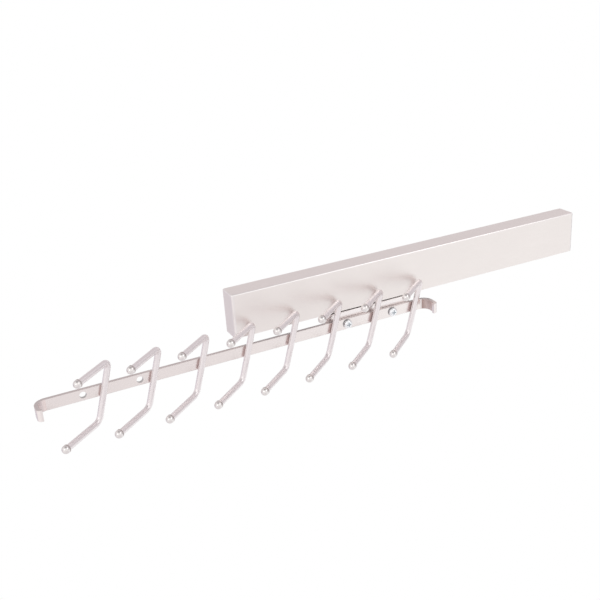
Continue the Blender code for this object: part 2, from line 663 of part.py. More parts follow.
def rounded_corner(before, corner, after, radius):
    """Points of a bend of the given radius that replaces a sharp corner of a wire."""
    to_start = (before - corner).normalized()
    to_end = (after - corner).normalized()
    half = to_start.angle(to_end) / 2
    centre = corner + (to_start + to_end).normalized() * (radius / math.sin(half))
    arm_start = corner + to_start * (radius / math.tan(half)) - centre
    arm_end = corner + to_end * (radius / math.tan(half)) - centre
    sweep = arm_start.angle(arm_end)
    steps = max(2, math.ceil(sweep / ARC_STEP))
    points = []
    for step in range(steps + 1):
        turned = sweep * step / steps
        blend = arm_start * math.sin(sweep - turned) + arm_end * math.sin(turned)
        points.append(centre + blend / math.sin(sweep))
    return points


def build_hook(number, carriage):
    """One double hook: a shank that leans across the bar, and a peg from each of its ends."""
    x = FIRST_HOOK_X + (number - 1) * HOOK_PITCH
    place = Vector((x, BALL_ROW_DEPTH - WIRE_DEPTH, BAR_MIDDLE))
    half_lean = SHANK_HEIGHT / 2 * math.tan(SHANK_LEAN)
    top = Vector((half_lean, 0, SHANK_HEIGHT / 2))
    bottom = -top
    upper = peg_direction(UPPER_PEG_SWING, UPPER_PEG_RISE)
    lower = peg_direction(LOWER_PEG_SWING, LOWER_PEG_RISE)
    upper_tip = top + upper * UPPER_PEG_LENGTH
    lower_tip = bottom + lower * LOWER_PEG_LENGTH
    upper_bend = rounded_corner(upper_tip, top, bottom, UPPER_BEND_RADIUS)
    lower_bend = rounded_corner(top, bottom, lower_tip, LOWER_BEND_RADIUS)
    route = [upper_tip, *upper_bend, *lower_bend, lower_tip]
    name = f"hook_{number}"
    curve = bpy.data.curves.new(name, "CURVE")
    curve.dimensions = "3D"
    curve.bevel_depth = WIRE_DIAMETER / 2
    curve.bevel_resolution = WIRE_BEVEL_RESOLUTION
    curve.use_fill_caps = True
    spline = curve.splines.new("POLY")
    spline.points.add(len(route) - 1)
    for knot, point in zip(spline.points, route):
        knot.co = (*point, 1)
    add_object(name, curve, SATIN_NICKEL, carriage, place)
    build_tip(f"upper_tip_{number}", place + upper_tip, upper, carriage)
    build_tip(f"lower_tip_{number}", place + lower_tip, lower, carriage)


def build_tip(name, place, direction, carriage):
    """Ball with a blind bore, pushed onto the end of a peg."""
    radius = TIP_DIAMETER / 2
    bore = WIRE_DIAMETER / 2 + HOLE_CLEARANCE
    mouth = math.pi - math.asin((radius + bore) / 2 / radius)
    outside = arc_profile(radius, 0, 0, mouth, TIP_PROFILE_STEPS)
    inside = [(bore, outside[-1][1]), (bore, GAP), (0, GAP)]
    turn = direction.to_track_quat("Z", "Y").to_euler()
    return turned_piece(name, outside + inside, GLOSS_TIP, carriage, place, turn, TIP_TURN_STEPS)


def build_fixed_side():
    build_cover()
    build_outer_rail()
    build_cover_screws()
    build_end_block("left_end_block", -1)
    build_end_block("right_end_block", 1)
    build_bumper("left_bumper", -1, RIGHT_TURN)
    build_bumper("right_bumper", 1, LEFT_TURN)


def build_cage():
    """Balls and retainer: they travel half as far as the bar does."""
    cage = make_empty("cage_slide", (-SLIDE_TRAVEL / 4, -BALL_ROW_DEPTH, 0))
    build_retainer(cage)
    build_balls("upper", ROW_HEIGHT, cage)
    build_balls("lower", -ROW_HEIGHT, cage)


def build_carriage():
    """Everything that slides with the bar, drawn fully pulled out."""
    carriage = make_empty("bar_slide", (-SLIDE_TRAVEL, -BALL_ROW_DEPTH, 0))
    build_inner_rail(carriage)
    build_bracket(carriage)
    build_rivets(carriage)
    build_bar(carriage)
    build_bar_screws(carriage)
    build_bar_nuts(carriage)
    for number in range(1, HOOK_COUNT + 1):
        build_hook(number, carriage)


clear_scene()
parts = make_collection("tie_rack")
cutters = make_collection("cutters")
build_fixed_side()
build_cage()
build_carriage()
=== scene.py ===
"""Looks of the pull-out tie rack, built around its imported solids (metres, +Z up, wall at y = 0)."""
import json
import math

import bmesh
import bpy
from mathutils import Matrix, Vector


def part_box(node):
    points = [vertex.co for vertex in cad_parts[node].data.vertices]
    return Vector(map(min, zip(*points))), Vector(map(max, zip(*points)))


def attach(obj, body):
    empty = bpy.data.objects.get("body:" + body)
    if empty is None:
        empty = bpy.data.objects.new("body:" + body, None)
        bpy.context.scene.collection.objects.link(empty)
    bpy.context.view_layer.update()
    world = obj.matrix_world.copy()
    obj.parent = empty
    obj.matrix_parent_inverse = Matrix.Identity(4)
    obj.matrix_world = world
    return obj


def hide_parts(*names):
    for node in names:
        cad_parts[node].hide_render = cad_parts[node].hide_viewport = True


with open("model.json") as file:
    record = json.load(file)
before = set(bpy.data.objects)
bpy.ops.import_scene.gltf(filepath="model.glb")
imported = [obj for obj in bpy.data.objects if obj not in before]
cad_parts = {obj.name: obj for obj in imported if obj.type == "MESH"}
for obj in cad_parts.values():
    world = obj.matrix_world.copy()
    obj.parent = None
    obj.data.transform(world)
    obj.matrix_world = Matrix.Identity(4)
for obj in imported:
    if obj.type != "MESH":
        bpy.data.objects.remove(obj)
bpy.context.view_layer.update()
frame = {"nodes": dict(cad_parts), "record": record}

MM = 0.001

# Camera, fitted to the photo
IMAGE_SIZE = 600
FOCAL_PIXELS = 900.4
SENSOR = 36.0
CAMERA_AZIMUTH = math.radians(-24.66)
CAMERA_ELEVATION = math.radians(22.98)
CAMERA_ROLL = math.radians(-4.02)
CAMERA_PLACE = Vector((-401.5, -642.2, 291.9)) * MM
CAMERA_NEAR = 10 * MM

# Floor and the pool of light on it that the metal mirrors, by place
FLOOR_HEIGHT = -0.42
FLOOR_SIZE = 8.0
FLOOR_COLOUR = (0.93, 0.93, 0.93)
FLOOR_ROUGHNESS = 0.9
WHITE = (1.0, 1.0, 1.0)
RIGHT, FORTH, UP = (1.0, 0.0, 0.0), (0.0, 1.0, 0.0), (0.0, 0.0, 1.0)
SHADE_SLANT = (1.0, 0.4, 0.0)
SHADE_SIDE, BRIGHT_SIDE = -0.36, 0.24
SHADE_FRONT, SHADE_BACK = (0.87, 0.842, 0.85), (0.655, 0.605, 0.665)
FRONT_END, BACK_START = -0.05, 0.7
LEFT_WAY, LEFT_LIGHT = (-1.0, -0.3, 0.0), (0.965, 0.935, 0.94)
LEFT_START, LEFT_END = 0.6, 0.9
CLOSE_START, CLOSE_END = -1.5, -1.0
FAR_SLANT = (1.0, 0.6, 0.0)
BRIGHT_END, DIM_START = 0.75, 1.25

# Room that the metal mirrors, by direction
ROOM_FRONT, ROOM_BACK = (1.0, 0.985, 0.98), (0.705, 0.662, 0.676)
ROOM_HORIZON, ROOM_SIDE = (0.90, 0.88, 0.88), (0.655, 0.63, 0.645)
ROOM_TOP = (0.48, 0.465, 0.465)
ROOM_BRIGHT_WAY = (-0.5, -0.8, 0.35)
ROOM_DIM_FROM, ROOM_BRIGHT_FROM = -0.1, 0.45
HORIZON_END, BACK_RISE = 0.0, 0.3
SIDE_WAY = (0.92, -0.22, 0.32)
SIDE_START, SIDE_END = 0.84, 0.98
TOP_START, TOP_END = 0.8, 0.97

# Lamps: name, place, aim, size and power
SOFTBOXES = (
    ("key_softbox", (0.85, -0.68, 1.19), (0.0, 0.0, 0.0), (0.9, 0.4), 0.6),
    ("left_softbox", (-1.30, -0.85, 0.63), (-0.2, 0.0, 0.0), (0.5, 0.5), 0.9),
    ("right_softbox", (0.75, -0.93, 0.90), (-0.2, 0.0, 0.0), (0.5, 0.5), 0.9),
)

# Grain of the finishes, in specks per metre along each axis
ALONG = (60.0, 1800.0, 1800.0)
EVEN = (900.0, 900.0, 900.0)
COARSE = (300.0, 300.0, 300.0)
CLOUD = (28.0, 45.0, 45.0)
CLOUD_DETAIL, GRAIN_DETAIL = 4.0, 2.0
NOISE_LOW, NOISE_HIGH = 0.3, 0.7
BUMP_DISTANCE = 0.01 * MM

# Places of a piece's further finishes after its first; these hold painted highlight and painted shade, and a
# duller cut on the bar's edges
PAINTED_LIGHT_AND_SHADE_SLOT = 1
EDGE_DULL_AND_PAINTED_SHADE, RIGHT_CURL_PAINTED_SHADE, HOLE_PAINTED_SHADE, SHADE_FINISH = 1, 2, 3, 4
RECESS_PAINTED_SHADE, HEAD_SIDE_PAINTED_SHADE = 1, 2

# Hooks, counted from the bar's left end; each peg has a length, a swing toward the front and a rise
HOOK_COUNT = 8
FIRST_HOOK, HOOK_PITCH = 53 * MM, 40 * MM
WIRE_RADIUS = 2.5 * MM
WIRE_SIDES = 32
SHANK_HEIGHT, SHANK_LEAN = 49 * MM, math.radians(16.5)
UPPER_LENGTH, UPPER_SWING, UPPER_RISE = 37 * MM, math.radians(37.5), math.radians(-2.5)
LOWER_LENGTH, LOWER_SWING, LOWER_RISE = 42.5 * MM, math.radians(41), math.radians(1)
UPPER_BEND, LOWER_BEND = 4.5 * MM, 6.5 * MM
BEND_STEP = math.radians(5)
# Wire faces that face the bar more than this take painted shade
PAINTED_SHADE_FACING = 0.1

# Tips; heights run along the peg, and zero is the peg's end
TIP_GAP = 0.3 * MM
TIP_RADIUS, GROOVE_RADIUS, FOOT_RADIUS = 3.33 * MM, 2.95 * MM, 3.2 * MM
GROOVE_START, GROOVE_END, GROOVE_SLOPE = -0.3 * MM, -1.2 * MM, 0.1 * MM
COLLAR_END, FOOT_END = -1.75 * MM, -1.9 * MM
TIP_SIDES, TIP_RINGS = 40, 16

# Bar: a strip with a curl and a lip at each end, and a pair of holes near each end
BAR_GAUGE, BAR_HEIGHT, BAR_CHAMFER = 3.0 * MM, 9.5 * MM, 0.25 * MM
BAR_INSET = 0.02 * MM
CURL_BEND, CURL_RUN = 8.0 * MM, 5.6 * MM
LIP_BEND, LIP_RUN = 1.8 * MM, 1.0 * MM
HOLE_RADIUS, HOLE_INSETS = 2.75 * MM, (37.5 * MM, 82.5 * MM)
DRILL_LENGTH = 12 * MM
HOLE_SIDES = 48
UPRIGHT_LIMIT = 0.1

# Painted shade inside the bar's curls: where the right one's starts, and where each fades lighter along x
DARK_START = 2.2 * MM
DARK_FADE, SHADE_FADE = (2.5 * MM, 9.0 * MM), (-334.5 * MM, -331.5 * MM)
LIGHT_INSIDE = (0.93, 0.82, 0.80)

# Cover
COVER_WALL, COVER_RETURN = 1.0 * MM, 10 * MM
COVER_EDGE, COVER_CORNER = 1.2 * MM, 2.4 * MM
COVER_EDGE_STEPS, ROUND_PROFILE = 8, 0.5

# Bar screws; the cross has a half length and a half width at its top and at its foot
HEAD_RADIUS, HEAD_HEIGHT, HEAD_ROUND = 4 * MM, 2.6 * MM, 1.7 * MM
HEAD_CROWN, CROWN_MIDDLE = 0.425 * MM, 0.0255 * MM
HEAD_SIDES, DOME_STEPS = 48, 8
SCREW_RADIUS = 2 * MM
THREAD_PITCH, THREAD_DEPTH = 0.7 * MM, 0.25 * MM
RECESS_TOP, RECESS_FOOT, RECESS_DEPTH = (2.4 * MM, 0.55 * MM), (1.5 * MM, 0.4 * MM), 0.9 * MM
SCREW_TURNS = (math.radians(49), math.radians(39))

SHARP = math.radians(30)


def node(tree, kind, **inputs):
    """New shader node with the given values on its inputs."""
    item = tree.nodes.new(kind)
    for key, value in inputs.items():
        item.inputs[key.replace("_", " ")].default_value = value
    return item


def make_material(name):
    """New material with its tree and its main shader."""
    material = bpy.data.materials.new(name)
    material.use_nodes = True
    tree = material.node_tree
    return material, tree, tree.nodes["Principled BSDF"]


def grain(tree, scale, detail):
    """Noise over the piece's own coordinates in metres; scale is one number for each axis."""
    place = tree.nodes.new("ShaderNodeTexCoord")
    stretch = node(tree, "ShaderNodeMapping", Scale=scale)
    noise = node(tree, "ShaderNodeTexNoise", Scale=1.0, Detail=detail)
    tree.links.new(place.outputs["Object"], stretch.inputs["Vector"])
    tree.links.new(stretch.outputs["Vector"], noise.inputs["Vector"])
    return noise.outputs["Fac"]


def spread(tree, value, low, high):
    """Map a noise value to a range of numbers."""
    item = node(tree, "ShaderNodeMapRange", From_Min=NOISE_LOW, From_Max=NOISE_HIGH, To_Min=low, To_Max=high)
    tree.links.new(value, item.inputs["Value"])
    return item.outputs["Result"]


def ramp(tree, value, low, high):
    """Value that rises smoothly from 0 at low to 1 at high."""
    item = node(tree, "ShaderNodeMapRange", From_Min=low, From_Max=high)
    item.interpolation_type = "SMOOTHSTEP"
    tree.links.new(value, item.inputs["Value"])
    return item.outputs["Result"]


def blend_colour(tree, value, first, second):
    """Mix of two colours, each a constant or the output of another node."""
    item = tree.nodes.new("ShaderNodeMix")
    item.data_type = "RGBA"
    for key, colour in (("A", first), ("B", second)):
        if isinstance(colour, tuple):
            item.inputs[key].default_value = (*colour, 1.0)
        else:
            tree.links.new(colour, item.inputs[key])
    tree.links.new(value, item.inputs["Factor"])
    return item.outputs["Result"]


def along_way(tree, place, way):
    """How far a place or direction lies along a way."""
    item = tree.nodes.new("ShaderNodeVectorMath")
    item.operation = "DOT_PRODUCT"
    item.inputs[1].default_value = way
    tree.links.new(place, item.inputs[0])
    return item.outputs["Value"]


def bump(tree, value, strength):
    """Normal of a surface whose height follows a value."""
    item = node(tree, "ShaderNodeBump", Strength=strength, Distance=BUMP_DISTANCE)
    tree.links.new(value, item.inputs["Height"])
    return item.outputs["Normal"]


def finish(name, light, dark, rough, streak, bump_strength, metallic=1.0):
    """Finish with a tone that clouds between light and dark, an uneven polish and a fine grain."""
    material, tree, shader = make_material(name)
    shader.inputs["Metallic"].default_value = metallic
    cloud = grain(tree, CLOUD, CLOUD_DETAIL)
    tone = blend_colour(tree, spread(tree, cloud, 0.0, 1.0), light, dark)
    tree.links.new(tone, shader.inputs["Base Color"])
    fine = grain(tree, streak, GRAIN_DETAIL)
    tree.links.new(spread(tree, fine, *rough), shader.inputs["Roughness"])
    tree.links.new(bump(tree, fine, bump_strength), shader.inputs["Normal"])
    return material


def fade_tone(material, start, end, colour):
    """Let a finish pass into another colour along x."""
    tree = material.node_tree
    base = tree.nodes["Principled BSDF"].inputs["Base Color"]
    tone = base.links[0].from_socket
    place = tree.nodes.new("ShaderNodeTexCoord").outputs["Object"]
    fade = ramp(tree, along_way(tree, place, RIGHT), start, end)
    tree.links.new(blend_colour(tree, fade, tone, colour), base)


# Finishes: light and dark tone, range of roughness, grain and strength of its bump
cover_nickel = finish("cover_nickel", (0.935, 0.885, 0.862), (0.92, 0.87, 0.848), (0.36, 0.42), ALONG, 0.01)
# Rounded cover edges: the lighter tone is a painted highlight, the smoother polish is real
cover_edge_painted_highlight = finish("cover_edge_painted_highlight", (0.945, 0.910, 0.900), (0.930, 0.895, 0.885), (0.28, 0.34), ALONG, 0.01)
bar_nickel = finish("bar_nickel", (0.935, 0.880, 0.862), (0.920, 0.865, 0.848), (0.20, 0.26), ALONG, 0.01)
# The bar's edges: a duller cut edge, darkened further by painted shade
bar_edge_dull_and_painted_shade = finish("bar_edge_dull_and_painted_shade", (0.75, 0.685, 0.67), (0.67, 0.61, 0.60), (0.40, 0.50), ALONG, 0.10)
# Painted shade inside the right curl and, milder, inside the left curl
right_curl_painted_shade = finish("right_curl_painted_shade", (0.52, 0.39, 0.36), (0.46, 0.345, 0.32), (0.48, 0.58), ALONG, 0.03)
curl_shade = finish("curl_shade", (0.80, 0.71, 0.71), (0.75, 0.665, 0.665), (0.36, 0.44), ALONG, 0.03)
# Painted shade on the walls of the bar's holes
hole_wall_painted_shade = finish("hole_wall_painted_shade", (0.63, 0.62, 0.61), (0.57, 0.56, 0.55), (0.35, 0.45), EVEN, 0.05)
wire_nickel = finish("wire_nickel", (0.925, 0.877, 0.884), (0.909, 0.860, 0.868), (0.34, 0.40), EVEN, 0.01)
# Painted shade on the wire's back beside the bar, which the bar mirrors as a contact shadow
painted_contact_shade = finish("painted_contact_shade", (0.66, 0.55, 0.55), (0.60, 0.50, 0.50), (0.40, 0.50), EVEN, 0.05)
glossy_tip = finish("glossy_tip", (0.84, 0.81, 0.80), (0.82, 0.79, 0.78), (0.13, 0.17), EVEN, 0.005)
# Painted shade in the tips' grooves
groove_painted_shade = finish("groove_painted_shade", (0.72, 0.67, 0.66), (0.66, 0.61, 0.60), (0.30, 0.40), EVEN, 0.02)
screw_zinc = finish("screw_zinc", (0.965, 0.985, 1.0), (0.945, 0.970, 0.995), (0.16, 0.22), EVEN, 0.01)
# Painted shade in the screws' cross recesses
screw_recess = finish("screw_recess", (0.66, 0.70, 0.73), (0.58, 0.62, 0.66), (0.30, 0.40), EVEN, 0.03)
# Painted shade on the screw heads' upright sides
head_side_painted_shade = finish("head_side_painted_shade", (0.52, 0.53, 0.55), (0.45, 0.46, 0.48), (0.30, 0.40), EVEN, 0.03)
bright_zinc = finish("bright_zinc", (0.985, 0.940, 0.930), (0.965, 0.920, 0.912), (0.24, 0.30), ALONG, 0.03)
galvanised = finish("galvanised", (0.62, 0.64, 0.66), (0.50, 0.52, 0.55), (0.35, 0.50), COARSE, 0.2)
bearing_steel = finish("bearing_steel", (0.74, 0.75, 0.77), (0.70, 0.71, 0.73), (0.08, 0.14), EVEN, 0.01)
grey_nylon = finish("grey_nylon", (0.56, 0.55, 0.54), (0.52, 0.51, 0.50), (0.5, 0.6), EVEN, 0.2, 0.0)
black_rubber = finish("black_rubber", (0.045, 0.045, 0.045), (0.03, 0.03, 0.03), (0.75, 0.9), EVEN, 0.4, 0.0)
# The painted shade inside both curls fades lighter along x
fade_tone(right_curl_painted_shade, *DARK_FADE, LIGHT_INSIDE)
fade_tone(curl_shade, *SHADE_FADE, LIGHT_INSIDE)
FINISHES = {"satin_nickel": cover_nickel, "zinc_plated_steel": bright_zinc, "galvanised_steel": galvanised,
            "bearing_steel": bearing_steel, "glossy_tip": glossy_tip, "grey_nylon": grey_nylon,
            "black_rubber": black_rubber}

slots = {part["node"]: part["material_slot"] for part in frame["record"]["subparts"]}
bodies = {name: body for body, names in frame["record"]["behaviour"]["bodies"].items() for name in names}
for name, obj in frame["nodes"].items():
    obj.data.materials.clear()
    obj.data.materials.append(FINISHES[slots[name]])


def add_piece(bm, name, stands_for, *materials):
    """Piece that stands for a CAD node, rides on its body and wears the given finishes."""
    mesh = bpy.data.meshes.new(name)
    bmesh.ops.recalc_face_normals(bm, faces=bm.faces)
    bm.to_mesh(mesh)
    bm.free()
    mesh.shade_smooth()
    for material in materials:
        mesh.materials.append(material)
    piece = bpy.data.objects.new(name, mesh)
    bpy.context.scene.collection.objects.link(piece)
    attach(piece, bodies[stands_for])
    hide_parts(stands_for)
    return piece


def settle(piece):
    """Make a piece's modifiers part of its mesh."""
    evaluated = piece.evaluated_get(bpy.context.evaluated_depsgraph_get())
    piece.data = bpy.data.meshes.new_from_object(evaluated)
    piece.modifiers.clear()


def cut_away(piece, bm, material_index=0):
    """Take a cutter's volume out of a piece for good; its walls get the given finish."""
    mesh = bpy.data.meshes.new("cutter")
    bmesh.ops.recalc_face_normals(bm, faces=bm.faces)
    for face in bm.faces:
        face.material_index = material_index
    bm.to_mesh(mesh)
    bm.free()
    for material in piece.data.materials:
        mesh.materials.append(material)
    cutter = bpy.data.objects.new("cutter", mesh)
    bpy.context.scene.collection.objects.link(cutter)
    boolean = piece.modifiers.new("cut", "BOOLEAN")
    boolean.operation = "DIFFERENCE"
    boolean.solver = "EXACT"
    boolean.object = cutter
    settle(piece)
    bpy.data.objects.remove(cutter, do_unlink=True)


def keep_flats(piece):
    """Smooth shading that leaves a piece's flats and straight lengths as they are."""
    piece.data.shade_smooth()
    piece.data.set_sharp_from_angle(angle=SHARP)
    flats = piece.modifiers.new("flats", "WEIGHTED_NORMAL")
    flats.keep_sharp = True
    settle(piece)


def ring_of(bm, centre, across, up, radius, sides):
    """Ring of points round a centre."""
    ring = []
    for i in range(sides):
        turn = 2 * math.pi * i / sides
        arm = across * (radius * math.cos(turn)) + up * (radius * math.sin(turn))
        ring.append(bm.verts.new(centre + arm))
    return ring


def bridge(bm, first, second):
    """Faces between two rings of as many points."""
    count = len(first)
    for i in range(count):
        j = (i + 1) % count
        bm.faces.new((first[i], first[j], second[j], second[i]))


def tube(route, radius, sides):
    """Round wire along a route, closed at both ends."""
    bm = bmesh.new()
    rings = []
    across = None
    for i, point in enumerate(route):
        before = route[max(i - 1, 0)]
        after = route[min(i + 1, len(route) - 1)]
        along = (after - before).normalized()
        if across is None:
            across = along.orthogonal().normalized()
        across = (across - along * across.dot(along)).normalized()
        rings.append(ring_of(bm, point, across, along.cross(across), radius, sides))
    for first, second in zip(rings, rings[1:]):
        bridge(bm, first, second)
    bm.faces.new(rings[0])
    bm.faces.new(rings[-1])
    return bm


def turned(profile, place, axis, sides):
    """Solid of revolution; the profile runs from the axis to the axis as (radius, height)."""
    bm = bmesh.new()
    axis = axis.normalized()
    across = axis.orthogonal().normalized()
    up = axis.cross(across)
    rings = []
    for radius, height in profile[1:-1]:
        rings.append(ring_of(bm, place + axis * height, across, up, radius, sides))
    for first, second in zip(rings, rings[1:]):
        bridge(bm, first, second)
    for (_, height), ring in ((profile[0], rings[0]), (profile[-1], rings[-1])):
        tip = bm.verts.new(place + axis * height)
        for i in range(sides):
            bm.faces.new((tip, ring[i], ring[(i + 1) % sides]))
    return bm


def rounded_corner(before, corner, after, radius):
    """Points of the arc that rounds the corner between two straight lengths."""
    to_start = (before - corner).normalized()
    to_end = (after - corner).normalized()
    half = to_start.angle(to_end) / 2
    centre = corner + (to_start + to_end).normalized() * (radius / math.sin(half))
    arm_start = corner + to_start * (radius / math.tan(half)) - centre
    arm_end = corner + to_end * (radius / math.tan(half)) - centre
    sweep = arm_start.angle(arm_end)
    steps = math.ceil(sweep / BEND_STEP)
    points = []
    for step in range(steps + 1):
        turn = sweep * step / steps
        arm = arm_start * math.sin(sweep - turn) + arm_end * math.sin(turn)
        points.append(centre + arm / math.sin(sweep))
    return points


def peg_direction(swing, rise):
    """Way that a peg points: to the left, swung toward the front and raised."""
    flat = Vector((-math.cos(swing), -math.sin(swing), 0))
    return flat * math.cos(rise) + Vector((0, 0, math.sin(rise)))


def build_tip(name, place, direction):
    """Round cap on a peg's end: a dome, a groove in painted shade and a collar."""
    bore = WIRE_RADIUS + TIP_GAP
    turns = [math.pi / 2 * i / TIP_RINGS for i in range(TIP_RINGS + 1)]
    dome = [(TIP_RADIUS * math.sin(turn), TIP_RADIUS * math.cos(turn)) for turn in turns]
    groove = [(TIP_RADIUS, GROOVE_START), (GROOVE_RADIUS, GROOVE_START - GROOVE_SLOPE),
              (GROOVE_RADIUS, GROOVE_END + GROOVE_SLOPE), (TIP_RADIUS, GROOVE_END)]
    collar = [(TIP_RADIUS, COLLAR_END), (FOOT_RADIUS, FOOT_END), (bore, FOOT_END)]
    profile = [*dome, *groove, *collar, (bore, TIP_GAP), (0, TIP_GAP)]
    bm = turned(profile, place, direction, TIP_SIDES)
    for face in bm.faces:
        arm = face.calc_center_median() - place
        height = arm.dot(direction)
        outside = (arm - direction * height).length > bore
        if outside and GROOVE_END < height < GROOVE_START:
            face.material_index = PAINTED_LIGHT_AND_SHADE_SLOT
    cap = add_piece(bm, name + "_cap", name, glossy_tip, groove_painted_shade)
    cap.data.set_sharp_from_angle(angle=SHARP)


def build_hook(number):
    """Bent wire with two pegs, painted shade behind its shank where it is welded to the bar, and its two
    tips.
    """
    low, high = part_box("hook_bar")
    wire_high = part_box(f"hook_{number}")[1]
    middle = low.x + FIRST_HOOK + HOOK_PITCH * (number - 1)
    bar_middle = (low.z + high.z) / 2
    half_lean = SHANK_HEIGHT / 2 * math.tan(SHANK_LEAN)
    upper = peg_direction(UPPER_SWING, UPPER_RISE)
    lower = peg_direction(LOWER_SWING, LOWER_RISE)
    top = Vector((middle + half_lean, wire_high.y - WIRE_RADIUS, bar_middle + SHANK_HEIGHT / 2))
    bottom = top - Vector((2 * half_lean, 0, SHANK_HEIGHT))
    upper_tip = top + upper * UPPER_LENGTH
    lower_tip = bottom + lower * LOWER_LENGTH
    weld_share = BAR_HEIGHT / SHANK_HEIGHT / 2
    weld = [top.lerp(bottom, 0.5 - weld_share), top.lerp(bottom, 0.5 + weld_share)]
    route = [upper_tip, *rounded_corner(upper_tip, top, bottom, UPPER_BEND), *weld,
             *rounded_corner(top, bottom, lower_tip, LOWER_BEND), lower_tip]
    bm = tube(route, WIRE_RADIUS, WIRE_SIDES)
    bmesh.ops.recalc_face_normals(bm, faces=bm.faces)
    for face in bm.faces:
        beside_bar = low.z < face.calc_center_median().z < high.z
        if beside_bar and face.normal.y > PAINTED_SHADE_FACING:
            face.material_index = PAINTED_LIGHT_AND_SHADE_SLOT
    keep_flats(add_piece(bm, f"hook_{number}_wire", f"hook_{number}", wire_nickel, painted_contact_shade))
    build_tip(f"upper_tip_{number}", upper_tip, upper)
    build_tip(f"lower_tip_{number}", lower_tip, lower)


def arc(centre, radius, start, sweep):
    """Points of an arc in plan."""
    steps = math.ceil(abs(sweep) / BEND_STEP)
    turns = [start + sweep * step / steps for step in range(steps + 1)]
    return [centre + radius * Vector((math.cos(turn), math.sin(turn))) for turn in turns]


def bar_route(straight):
    """Middle line of the bar in plan as (x, forward) from its middle, end to end."""
    curl = arc(Vector((straight / 2, CURL_BEND)), CURL_BEND, -math.pi / 2, math.pi / 2)
    lip = arc(curl[-1] + Vector((-LIP_BEND, CURL_RUN)), LIP_BEND, 0, math.pi / 2)
    half = [*curl, *lip, lip[-1] - Vector((LIP_RUN, 0))]
    return [Vector((-point.x, point.y)) for point in reversed(half)] + half


def bar_section():
    """Chamfered section of the bar as (forward, up), its front face first."""
    front, top = BAR_GAUGE / 2, BAR_HEIGHT / 2
    inner_front, inner_top = front - BAR_CHAMFER, top - BAR_CHAMFER
    return [(front, -inner_top), (front, inner_top), (inner_front, top), (-inner_front, top),
            (-front, inner_top), (-front, -inner_top), (-inner_front, -top), (inner_front, -top)]


def drill_holes(bar, low, high, place):
    """Drill a pair of round holes near each end of the bar; their walls take painted shade."""
    holes = bmesh.new()
    turn = Vector((0, 1, 0)).to_track_quat("Z", "Y").to_matrix().to_4x4()
    for inset in HOLE_INSETS:
        for x in (low.x + inset, high.x - inset):
            middle = Matrix.Translation((x, place.y, place.z))
            bmesh.ops.create_cone(holes, cap_ends=True, segments=HOLE_SIDES, radius1=HOLE_RADIUS,
                                  radius2=HOLE_RADIUS, depth=DRILL_LENGTH, matrix=middle @ turn)
    cut_away(bar, holes, HOLE_PAINTED_SHADE)


def build_bar():
    """Strip along the bar's route, with duller edges and curl insides, both darkened by painted shade."""
    low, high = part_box("hook_bar")
    place = Vector(((low.x + high.x) / 2, high.y - BAR_GAUGE / 2, (low.z + high.z) / 2))
    straight = high.x - low.x - 2 * (CURL_BEND + BAR_GAUGE / 2 + BAR_INSET)
    route, section = bar_route(straight), bar_section()
    bm = bmesh.new()
    rings = []
    for i, point in enumerate(route):
        along = (route[min(i + 1, len(route) - 1)] - route[max(i - 1, 0)]).normalized()
        out = Vector((-along.y, along.x))
        flat = [(point + out * forward, up) for forward, up in section]
        rings.append([bm.verts.new(place + Vector((spot.x, -spot.y, up))) for spot, up in flat])
    for first, second in zip(rings, rings[1:]):
        bridge(bm, first, second)
    ends = {bm.faces.new(rings[0]), bm.faces.new(rings[-1])}
    bmesh.ops.recalc_face_normals(bm, faces=bm.faces)
    for face in bm.faces:
        middle = face.calc_center_median() - place
        upright = abs(face.normal.z) < UPRIGHT_LIMIT
        # Faces inside the curls take painted shade
        right_curl = middle.x > straight / 2 + DARK_START and middle.y < 0 and face not in ends
        left_curl = middle.x < -straight / 2 and face not in ends
        if not upright:
            face.material_index = EDGE_DULL_AND_PAINTED_SHADE
        elif right_curl and face.normal.x < 0:
            face.material_index = RIGHT_CURL_PAINTED_SHADE
        elif left_curl and face.normal.x > 0:
            face.material_index = SHADE_FINISH
    bar = add_piece(bm, "bar_strip", "hook_bar", bar_nickel, bar_edge_dull_and_painted_shade, right_curl_painted_shade, hole_wall_painted_shade, curl_shade)
    drill_holes(bar, low, high, place)
    keep_flats(bar)


def block(low, high):
    """Plain block between two corners."""
    bm = bmesh.new()
    stretch = Matrix.Diagonal((*(high - low), 1))
    bmesh.ops.create_cube(bm, size=1, matrix=Matrix.Translation((low + high) / 2) @ stretch)
    return bm


def round_edges(bm, edges, radius):
    """Round edges of a block and give the rounding its second finish, on the cover a painted highlight."""
    result = bmesh.ops.bevel(bm, geom=edges, offset=radius, offset_type="OFFSET", segments=COVER_EDGE_STEPS,
                             profile=ROUND_PROFILE, affect="EDGES")
    for face in result["faces"]:
        face.material_index = PAINTED_LIGHT_AND_SHADE_SLOT


def rounded_block(low, high, corner_radius, rim_radius):
    """Block with its two upright front edges rounded, and then its top's rim, apart from the back."""
    bm = block(low, high)
    middle = (low + high) / 2
    upright = []
    for edge in bm.edges:
        first, second = (vert.co for vert in edge.verts)
        if first.x == second.x and max(first.y, second.y) < middle.y:
            upright.append(edge)
    round_edges(bm, upright, corner_radius)
    rim = []
    for edge in bm.edges:
        first, second = (vert.co for vert in edge.verts)
        level = first.z == second.z > middle.z
        if level and min(first.y, second.y) < middle.y:
            rim.append(edge)
    round_edges(bm, rim, rim_radius)
    return bm


